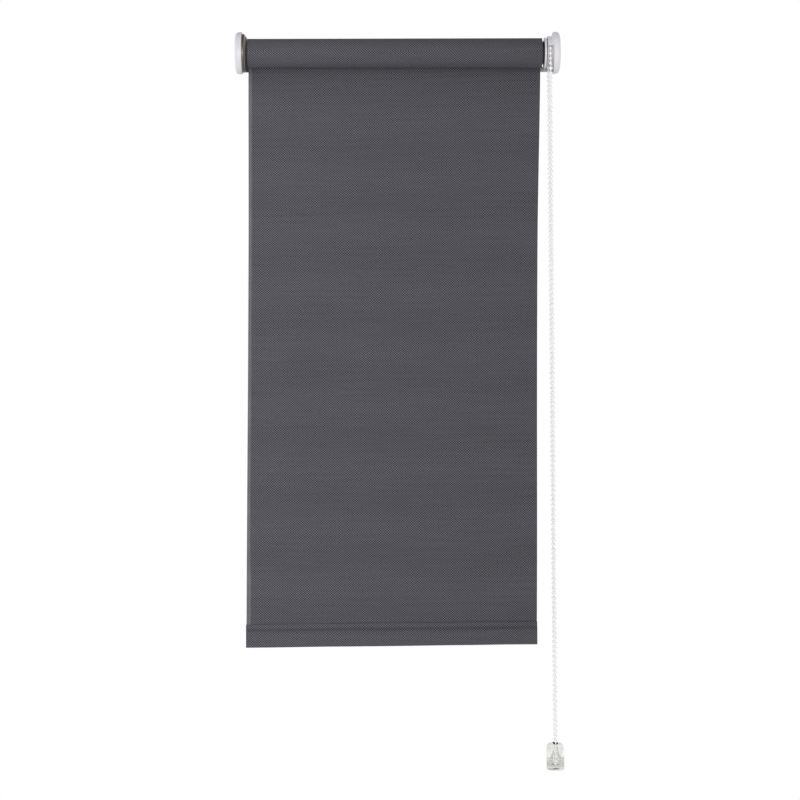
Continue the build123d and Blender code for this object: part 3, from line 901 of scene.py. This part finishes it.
@dataclass
class Studio:
    """Camera, pale floor, white surround and one soft light."""

    lens: float = 90.0
    sensor: float = 36.0
    camera_place: tuple[float, float, float] = (-0.0415, -2.479, -0.425)
    yaw: float = -0.995
    pitch: float = 0.006
    roll: float = -0.239
    floor_z: float = -1.8
    floor_size: float = 14.0
    surround: float = 1.0
    overhead: float = 0.22
    underfoot: float = 0.68
    key_place: tuple[float, float, float] = (-0.9, -2.9, -0.35)
    key_size: float = 1.3
    key_power: float = 18.0
    key_aim: tuple[float, float, float] = (0.0, 0.0, -0.4)

    def build(self) -> None:
        """Makes the camera, floor, surround and light."""
        bpy.context.scene.view_settings.view_transform = "Standard"
        self.make_camera()
        self.make_floor()
        self.make_world()
        self.make_key()

    def make_camera(self) -> None:
        """Makes the camera and gives it to the scene."""
        data = bpy.data.cameras.new("camera")
        data.lens = self.lens
        data.sensor_width = self.sensor
        camera = add_object("camera", data)
        turn = Matrix.Rotation(radians(self.yaw), 3, "Z")
        turn = turn @ Matrix.Rotation(radians(self.pitch), 3, "X")
        turn = turn @ Matrix.Rotation(radians(-self.roll), 3, "Y")
        turn = turn @ Matrix.Rotation(radians(90), 3, "X")
        camera.matrix_world = Matrix.Translation(self.camera_place) @ turn.to_4x4()
        bpy.context.scene.camera = camera

    def make_floor(self) -> None:
        """Makes the floor, as bright as the surround so that no line shows where they meet."""
        half = self.floor_size / 2
        corners = [(-half, -half), (half, -half), (half, half), (-half, half)]
        mesh = bpy.data.meshes.new("floor")
        mesh.from_pydata([(x, y, self.floor_z) for x, y in corners], [], [(0, 1, 2, 3)])
        floor = add_object("floor", mesh)
        material = bpy.data.materials.new("pale_floor")
        material.use_nodes = True
        kit = NodeKit(material.node_tree)
        kit.tree.nodes.remove(kit.tree.nodes["Principled BSDF"])
        glow = kit.add("Emission")
        seen = kit.add("LightPath").outputs["Is Camera Ray"]
        kit.feed(glow.inputs["Strength"], kit.scale(seen, self.underfoot, 1.0))
        kit.feed(kit.tree.nodes["Material Output"].inputs["Surface"], glow.outputs[0])
        mesh.materials.append(material)

    def make_world(self) -> None:
        """Makes the white surround."""
        world = bpy.data.worlds.new("surround")
        world.use_nodes = True
        kit = NodeKit(world.node_tree)
        ground = kit.tree.nodes["Background"]
        ground.inputs["Color"].default_value = (1.0, 1.0, 1.0, 1.0)
        seen = kit.add("LightPath").outputs["Is Camera Ray"]
        above = kit.math("MAXIMUM", kit.split(kit.add("TexCoord").outputs["Generated"])[2], 0.0)
        unseen = kit.scale(above, self.surround, self.overhead)
        share = kit.math("SUBTRACT", 1.0, unseen)
        kit.feed(ground.inputs["Strength"], kit.math("MULTIPLY_ADD", share, seen, unseen))
        bpy.context.scene.world = world

    def make_key(self) -> None:
        """Makes the soft light, aimed at the middle of the blind."""
        data = bpy.data.lights.new("key", "AREA")
        data.size = self.key_size
        data.energy = self.key_power
        aim = Vector(self.key_aim) - Vector(self.key_place)
        turn = aim.to_track_quat("-Z", "Y").to_matrix().to_4x4()
        add_object("key", data).matrix_world = Matrix.Translation(self.key_place) @ turn


# ---------------------------------------------------------------- chain


@dataclass
class DriveChain:
    """The bead chain: its string, its beads and the half turn over the wheel."""

    route: Sequence[tuple[float, float, float]] = (
        (0.1861, -0.04528, 0.0),
        (0.18976, -0.03613, -0.8625),
        (0.1898, -0.03603, -0.8715),
        (0.1898, -0.02397, -0.8715),
        (0.18976, -0.02387, -0.8625),
        (0.1861, -0.01472, 0.0),
    )
    string: float = 1.5 * MM
    bead: float = 4.35 * MM
    length: float = 1.750
    beads: int = 292
    over: int = 8
    over_step: float = 22.5
    wheel_radius: float = 15.28 * MM
    over_string_steps: int = 48
    string_sides: int = 10

    def build(self, halves: Sequence[bpy.types.Object]) -> None:
        """Makes the chain: its string, its beads and the half turn over the wheel.

        Args:
            halves: the two halves of the weight that hangs on it; not used.
        """
        string = self.make_string()
        line = self.follow(string)
        strand = finish_mesh("strand_beads", beads_mesh(self.spaced(line), self.bead / 2))
        place_piece(strand, "chain_loop", PALETTE.bead)
        top = self.make_top()
        place_piece(string, "chain_loop", PALETTE.string, ["bead_chain"])
        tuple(self.route[0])

    def make_string(self) -> bpy.types.Object:
        """Makes the string as one smooth spline, drawn by its route's control points.

        Returns:
            The curve object.
        """
        data = bpy.data.curves.new("chain_string", "CURVE")
        data.dimensions = "3D"
        spline = data.splines.new("NURBS")
        spline.points.add(len(self.route) - 1)
        for point, place in zip(spline.points, self.route):
            point.co = (*place, 1.0)
        spline.order_u = 3
        spline.use_endpoint_u = True
        spline.resolution_u = 24
        data.bevel_depth = self.string / 2
        data.bevel_resolution = 3
        data.use_fill_caps = True
        return add_object("chain_string", data)

    def follow(self, string: bpy.types.Object) -> list[Vector]:
        """Reads the string's centre line.

        Args:
            string: the curve object.

        Returns:
            Points along its spline.
        """
        depth = string.data.bevel_depth
        string.data.bevel_depth = 0.0
        string.data.use_fill_caps = False
        bpy.context.view_layer.update()
        graph = bpy.context.evaluated_depsgraph_get()
        mesh = bpy.data.meshes.new_from_object(string.evaluated_get(graph))
        points = [vertex.co.copy() for vertex in mesh.vertices]
        bpy.data.meshes.remove(mesh)
        string.data.bevel_depth = depth
        string.data.use_fill_caps = True
        return points

    def spaced(self, line: Sequence[Vector]) -> list[Vector]:
        """Spaces the beads evenly along the string.

        Args:
            line: points along it.

        Returns:
            The beads' centres, the first and last half a step from its ends.
        """
        lengths = [(b - a).length for a, b in zip(line, line[1:])]
        step = sum(lengths) / self.beads
        places, wanted, passed = [], step / 2, 0.0
        for a, b, length in zip(line, line[1:], lengths):
            while wanted <= passed + length and len(places) < self.beads:
                places.append(a.lerp(b, (wanted - passed) / length))
                wanted += step
            passed += length
        return places

    def make_top(self) -> bpy.types.Object:
        """Makes the half turn of string and its beads in the wheel's pockets.

        Returns:
            The piece.
        """
        centre = Vector((self.route[0][0], AXIS_Y, 0.0))

        def on_wheel(angle: float, radius: float) -> Vector:
            """A point round the wheel, at an angle back from the top."""
            return centre + Vector((0.0, radius * sin(radians(angle)), radius * cos(radians(angle))))

        steps, sides = self.over_string_steps, self.string_sides
        points, faces = [], []
        for k in range(steps + 1):
            angle = -90 + 180 * k / steps
            for j in range(sides):
                around = 2 * pi * j / sides
                ring = on_wheel(angle, self.wheel_radius + self.string / 2 * cos(around))
                points.append(ring + Vector((self.string / 2 * sin(around), 0.0, 0.0)))
        for k in range(steps):
            low, high = k * sides, (k + 1) * sides
            for j in range(sides):
                after = (j + 1) % sides
                faces.append((low + j, low + after, high + after, high + j))
        faces += [tuple(range(sides)), tuple(steps * sides + j for j in range(sides))]
        first = -self.over_step * (self.over - 1) / 2
        places = [on_wheel(first + self.over_step * k, self.wheel_radius) for k in range(self.over)]
        mesh = join_meshes([mesh_of(points, faces), beads_mesh(places, self.bead / 2)])
        piece = finish_mesh("beads_over_wheel", mesh)
        return place_piece(piece, "chain_loop", PALETTE.bead, ["chain_over_wheel"])


@dataclass(frozen=True)
class Level:
    """One height of the weight: its outline, its cavity, and how much painted brown shade each gets in the
    bed under the beads.
    """

    z: float
    outside: Sequence[Point]
    inside: Sequence[Point]
    shade_inside: float = 0.0
    shade_outside: float = 0.0


@dataclass
class ChainWeight:
    """The clear weight: two moulded halves round the chain's pulley."""

    corner: float = 8.0 * MM
    top_radius: float = 5.0 * MM
    foot_radius: float = 0.7 * MM
    wall: float = 2.9 * MM
    roof: float = 4.5 * MM
    slot: Point = (6.0 * MM, 18.2 * MM)
    slot_corner: float = 2.9 * MM
    cavity_corner: float = 5.5 * MM
    seam: float = 0.01 * MM
    corner_steps: int = 8
    least_corner: float = 1.2 * MM
    thin: float = 0.05 * MM
    ceiling_step: float = 0.4 * MM
    bed_steps: int = 16
    bed_angle: float = 88.0
    # painted shade in the bed under the beads: how it rises up the bed, how it fades in at the floor, and
    # where it fades out sideways
    bed_shade_rise: Point = (0.70, 0.84)
    floor_shade: Sequence[Point] = ((2.1 * MM, 0.0), (1.5 * MM, 1.0), (0.2 * MM, 1.0))
    shade_out_to: Point = (4.6 * MM, 3.0 * MM)
    shade_in_to: Point = (4.4 * MM, 3.0 * MM)

    def build(self) -> list[bpy.types.Object]:
        """Makes the two halves and dresses what is between them.

        Returns:
            The halves.
        """
        halves = []
        for side, label in ((-1, "left"), (1, "right")):
            mesh, bed_shade = self.half_mesh(side)
            piece = finish_mesh("weight_half_" + label, mesh, radians(50))
            # this attribute holds the painted brown shade under the beads
            piece.data.attributes.new("bed_shade", "FLOAT", "POINT").data.foreach_set("value", bed_shade)
            shell = "weight_shell_" + label
            halves.append(place_piece(piece, "chain_loop", PALETTE.clear, [shell]))
        dress(bpy.data.objects["weight_pulley"], PALETTE.bead)
        dress(bpy.data.objects["weight_axle"], PALETTE.clear)
        return halves

    @property
    def centre(self) -> Vector:
        """The weight's axis, at height 0."""
        return Vector((LEFT_SHELL.high.x, PULLEY.middle.y, 0.0))

    @property
    def half(self) -> Vector:
        """Half the weight's width and half its depth."""
        depth = LEFT_SHELL.high.y - LEFT_SHELL.low.y
        return Vector((RIGHT_SHELL.high.x - LEFT_SHELL.high.x, depth / 2))

    def outline(self, width: float, depth: float, corner: float) -> list[Point]:
        """Half of a rounded rectangle, from its front middle round to its back middle.

        Args:
            width: how far it reaches sideways.
            depth: how far it reaches forwards and backwards.
            corner: its corner radius.

        Returns:
            The points, always as many.
        """
        corner = min(corner, width, depth)
        points = [(0.0, -depth), ((width - corner) / 2, -depth)]
        points += arc((width - corner, corner - depth), corner, -90, 0, self.corner_steps)
        points += arc((width - corner, depth - corner), corner, 0, 90, self.corner_steps)
        points += [((width - corner) / 2, depth), (0.0, depth)]
        return points

    def levels(self) -> list[Level]:
        """Works out the weight's heights, from its foot up.

        Returns:
            The levels. The cavity ends below in a round bed under the pulley.
        """
        low, high, pulley_z = LEFT_SHELL.low.z, LEFT_SHELL.high.z, PULLEY.middle.z
        width, depth = self.half
        inside = (width - self.wall, depth - self.wall)
        radius = inside[1]
        ceiling = high - self.roof

        def outer(inset: float) -> list[Point]:
            """The outside, this much smaller all round."""
            return self.outline(width - inset, depth - inset, max(self.corner - inset, self.least_corner))

        whole = outer(0.0)
        nothing = self.outline(self.thin, self.thin, self.thin)
        slot = self.outline(self.slot[0] / 2, self.slot[1] / 2, self.slot_corner)
        cavity = self.outline(*inside, self.cavity_corner)
        stepped = self.outline(inside[0] - self.ceiling_step, inside[1], self.cavity_corner)
        foot = (self.foot_radius, low + self.foot_radius)
        levels = [Level(z, outer(x), nothing) for x, z in arc(foot, self.foot_radius, 270, 180, 4)]
        floor = pulley_z - radius
        for drop, share in (*self.floor_shade, (0.0, 1.0)):
            levels.append(Level(floor - drop, whole, nothing, share, share))
        for k in range(self.bed_steps + 1):
            angle = radians(self.bed_angle - self.bed_angle * k / self.bed_steps)
            reach = self.outline(inside[0], max(radius * cos(angle), self.thin), self.cavity_corner)
            tint = smoothstep(*self.bed_shade_rise, sin(angle))
            levels.append(Level(pulley_z - radius * sin(angle), whole, reach, tint))
        levels.append(Level(ceiling - self.ceiling_step, whole, cavity))
        levels += [Level(ceiling, whole, stepped), Level(ceiling, whole, slot)]
        shoulder = (self.top_radius, high - self.top_radius)
        for x, z in arc(shoulder, self.top_radius, 180, 90, 10):
            if z > ceiling:
                levels.append(Level(z, outer(x), slot))
        return levels

    def half_mesh(self, side: int) -> tuple[bpy.types.Mesh, list[float]]:
        """Makes one half.

        Args:
            side: -1 for the left half, 1 for the right.

        Returns:
            The mesh, and for each vertex how much painted shade of the bed it gets.
        """
        levels = self.levels()
        points, bed_shade = [], []
        for level in levels:
            cavity = level.inside[::-1]
            for x, y in [*level.outside, *cavity]:
                points.append(self.centre + Vector((side * (x + self.seam), y, level.z)))
            bed_shade += [level.shade_outside * smoothstep(*self.shade_out_to, x) for x, y in level.outside]
            bed_shade += [level.shade_inside * smoothstep(*self.shade_in_to, x) for x, y in cavity]
        count = len(points) // len(levels)
        faces = []
        for level in range(len(levels) - 1):
            a, b = level * count, (level + 1) * count
            for k in range(count):
                after = (k + 1) % count
                faces.append((a + k, a + after, b + after, b + k))
        faces.append(tuple(range(count)))
        faces.append(tuple(len(points) - count + k for k in range(count)))
        return mesh_of(points, faces), bed_shade


# ---------------------------------------------------------------- fabric


@dataclass
class FabricRoll:
    """The wraps of fabric that turn with the roller, under the outermost one."""

    inner: float = 14.45 * MM
    outer: float = 16.1 * MM
    pitch: float = 0.55 * MM
    cloth: float = 0.48 * MM
    steps: int = 60
    columns: int = 8
    inset: float = 0.3 * MM
    ragged: float = 0.35 * MM

    def build(self) -> None:
        """Makes the spiral of cloth."""
        turns = (self.outer - self.inner) / self.pitch

        def surface(u: float, turn: float) -> Vector:
            """A place on the spiral, whose edges are a little uneven from wrap to wrap.

            Args:
                u: where it is across the cloth.
                turn: how many turns out from the innermost wrap's start.

            Returns:
                The point.
            """
            angle = 2 * pi * turn
            radius = self.inner + self.pitch * turn
            side = side_of(u)
            x = u - self.inset * side + self.ragged * wobble(turn * 2.3 + 11 * side, 4.0) * abs(side) ** 8
            return Vector((x, AXIS_Y + radius * cos(angle), radius * sin(angle)))

        count = round(turns * self.steps)
        along = [turns * k / count for k in range(count + 1)]
        across = [ROLL.low.x + ROLL.width * k / self.columns for k in range(self.columns + 1)]
        mesh = cloth_mesh(surface, across, along, self.cloth)
        piece = finish_mesh("fabric_roll", mesh)
        place_piece(piece, "roller", PALETTE.fabric, ["wound_fabric"])


@dataclass
class HangingFabric:
    """The outermost wrap and the sheet that hangs off the back of the roll down to the hem."""

    radius: float = 17.85 * MM
    pitch: float = 0.6 * MM
    cloth: float = 0.6 * MM
    steps: int = 84
    row: float = 5.0 * MM
    pull_left: float = 1.0 * MM
    pull_right: float = 2.4 * MM
    curl: float = 0.7 * MM
    hem_lift: float = 0.9 * MM
    taper: float = 0.55 * MM
    strip_spread: float = 1.2 * MM
    hem_step: float = 0.3 * MM
    ripple: float = 0.5 * MM
    band_ripple: float = 0.22 * MM

    def build(self) -> None:
        """Makes the wrap and the sheet as one cloth, which stretches between roll and hem."""
        turn = [-(self.steps - k) / self.steps for k in range(self.steps)]
        rows = round(-SHEET.low.z / self.row)
        across = edge_dense(ROLL.low.x, ROLL.high.x, 9 * MM)
        along = turn + [k / rows for k in range(rows + 1)]
        piece = finish_mesh("hanging_fabric", cloth_mesh(self.surface, across, along, self.cloth))
        self.paint_edge_highlight(piece, across, along)
        dress(piece, PALETTE.fabric)
        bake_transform(piece)
        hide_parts("fabric_sheet")
        LOG.info("%s: %d faces", piece.name, len(piece.data.polygons))

    def surface(self, u: float, v: float) -> Vector:
        """A place on the cloth.

        Args:
            u: where it is across the cloth, at the roll.
            v: from -1 round the roll to 0 where the cloth leaves it, then to 1 at the hem.

        Returns:
            The point.
        """
        side = side_of(u)
        outside = self.radius - self.taper * (1 - side) / 2
        if v < 0:
            angle = -2 * pi * v
            radius = outside + self.pitch * v
            return Vector((u, AXIS_Y + radius * cos(angle), radius * sin(angle)))
        z = v * SHEET.low.z
        leave = AXIS_Y + outside
        settle = smoothstep(0.0, 0.12, v)
        y = leave + (SHEET.middle.y - leave) * settle + self.hem_step * smoothstep(0.9, 1.0, v)
        waist = smoothstep(0.0, 0.35, v) * (1 - 0.55 * smoothstep(0.45, 1.0, v))
        pull = self.pull_left if side < 0 else self.pull_right
        z += self.hem_lift * side * smoothstep(0.2, 1.0, v)
        x = u + (SHEET.low.x - ROLL.low.x) * v - side * abs(side) ** 3 * pull * waist
        free = smoothstep(0.0, 0.06, v) * smoothstep(1.0, 0.97, v)
        y += self.ripple * free * noise.noise(Vector((u * 7, z * 5, 2.0)))
        y += self.band_ripple * free * noise.noise(Vector((u * 2.5, z * 26, 5.0)))
        y -= self.curl * free * smoothstep(0.955, 1.0, abs(side)) ** 2
        return Vector((x, y, z))

    def paint_edge_highlight(self, piece: bpy.types.Object, across: Sequence[float], along: Sequence[float]) -> None:
        """Paints a highlight as a paler strip along the cloth's left edge.

        Args:
            piece: the cloth.
            across: the places across it.
            along: the places along it.
        """
        mark = piece.data.attributes.new("painted_edge_highlight", "FLOAT", "POINT")
        values = []
        for v in along:
            for u in across:
                inside = u - ROLL.low.x
                inside -= self.strip_spread * smoothstep(0.8, 1.0, v)
                strip = smoothstep(4.6 * MM, 3.4 * MM, inside) * smoothstep(-0.02, 0.02, v)
                values.append(strip * (0.75 + 0.25 * wobble(v * 30, 8.0)))
        mark.data.foreach_set("value", values + values)


@dataclass
class Hem:
    """The cloth folded up round the bottom bar and welded under its free edge."""

    cloth: float = 0.6 * MM
    lift: float = 0.9 * MM
    narrower: Point = (0.3 * MM, 1.1 * MM)
    weld_height: float = 21.2 * MM
    weld_reach: Point = (3.4 * MM, 1.0 * MM)
    bulge: float = 0.05
    foot_wave: float = 0.22 * MM
    edge_wave: float = 0.3 * MM
    profile: Sequence[Point] = (
        (-0.82, 28.6), (-0.68, 27.2), (-0.46, 25.4), (-0.40, 23.6), (-0.58, 22.2),
        (-1.36, 20.4), (-1.66, 18.8), (-1.88, 15.0), (-1.88, 8.0), (-1.74, 3.2),
        (-1.25, 1.0), (0.0, 0.3), (1.25, 1.0), (1.72, 3.2), (1.85, 8.0),
        (1.85, 15.0), (1.60, 18.8), (1.10, 20.9), (0.50, 22.8), (0.32, 24.2),
        (0.30, 27.0),
    )

    def build(self) -> None:
        """Makes the folded cloth."""
        pocket = Span.of("hem_pocket")
        middle = Span.of("bottom_bar").middle.y
        line = smooth_curve([(a * MM, b * MM) for a, b in self.profile], 0.7 * MM)
        foot = pocket.low.z

        def surface(u: float, v: float) -> Vector:
            """A place on the fold, which is slightly uneven along its length.

            Args:
                u: where it is across the cloth.
                v: which point of the fold's section.

            Returns:
                The point.
            """
            a, b = line[round(v)]
            round_bar = 1 - smoothstep(20 * MM, 23 * MM, b)
            y = middle + a * (1 + self.bulge * wobble(u * 21, 1.0) * round_bar)
            z = foot + b + self.lift * side_of(u)
            z += self.foot_wave * wobble(u * 16, 3.0) * smoothstep(15 * MM, 0.0, b)
            if a < 0:
                z += self.edge_wave * wobble(u * 24, 6.0) * smoothstep(20 * MM, 24 * MM, b)
            return Vector((u, y, z))

        across = edge_dense(pocket.low.x + self.narrower[0], pocket.high.x - self.narrower[1], 6 * MM)
        mesh = cloth_mesh(surface, across, [float(k) for k in range(len(line))], self.cloth)
        piece = finish_mesh("hem_fold", mesh)
        self.paint_crease_shade(piece, line, len(across))
        place_piece(piece, "hem", PALETTE.fabric, ["hem_pocket"])
        dress(bpy.data.objects["bottom_bar"], PALETTE.bar)

    def paint_crease_shade(self, piece: bpy.types.Object, line: Sequence[Point], wide: int) -> None:
        """Paints shade into the groove along the weld and a painted shadow line at the free edge's top.

        Args:
            piece: the folded cloth.
            line: the fold's section.
            wide: how many vertices one row has.
        """
        values = []
        for a, b in line:
            # painted shade in the groove along the weld, and a painted shadow line at the free edge's top
            groove_shade = smoothstep(*self.weld_reach, abs(b - self.weld_height))
            edge_shadow = 0.35 * smoothstep(27.4 * MM, 28.2 * MM, b)
            values += [max(groove_shade, edge_shadow) if a < 0 else 0.0] * wide
        piece.data.attributes.new("painted_crease_shade", "FLOAT", "POINT").data.foreach_set("value", values + values)


# ---------------------------------------------------------------- ends


class Hardware:
    """The CAD nodes that stay as they are and get their finish."""

    FINISHES: tuple[tuple[Finish, tuple[str, ...]], ...] = (
        (PALETTE.shaded_zinc, ("left_bracket",)),
        (PALETTE.zinc, ("right_bracket",)),
        (PALETTE.white, ("left_end_cap", "right_end_cap", "drive_guard", "tube_adapter")),
        (PALETTE.grey, ("pin_socket", "plug_stopper")),
        (PALETTE.drive, ("drive_spindle", "chain_wheel")),
        (PALETTE.steel, ("core_washer", "core_screw", "spindle_clip", "idle_pin")),
        (PALETTE.steel, ("wrap_spring_up", "wrap_spring_down", "pin_spring")),
        (PALETTE.tube, ("roller_tube",)),
        (PALETTE.tape, ("fabric_tape",)),
        (PALETTE.plug, ("idle_plug",)),
    )

    def build(self) -> None:
        """Dresses every node of the brackets, drive, idle end and tube."""
        for finish, names in self.FINISHES:
            for name in names:
                dress(bpy.data.objects[name], finish)
        LOG.info("hardware: %d nodes dressed", sum(len(names) for _, names in self.FINISHES))


def main() -> None:
    """Builds the blind and its studio."""
    logging.basicConfig(level=logging.INFO, format="%(name)s: %(message)s")
    Studio().build()
    DriveChain().build(ChainWeight().build())
    FabricRoll().build()
    HangingFabric().build()
    Hem().build()
    Hardware().build()


if __name__ == "__main__":
    main()
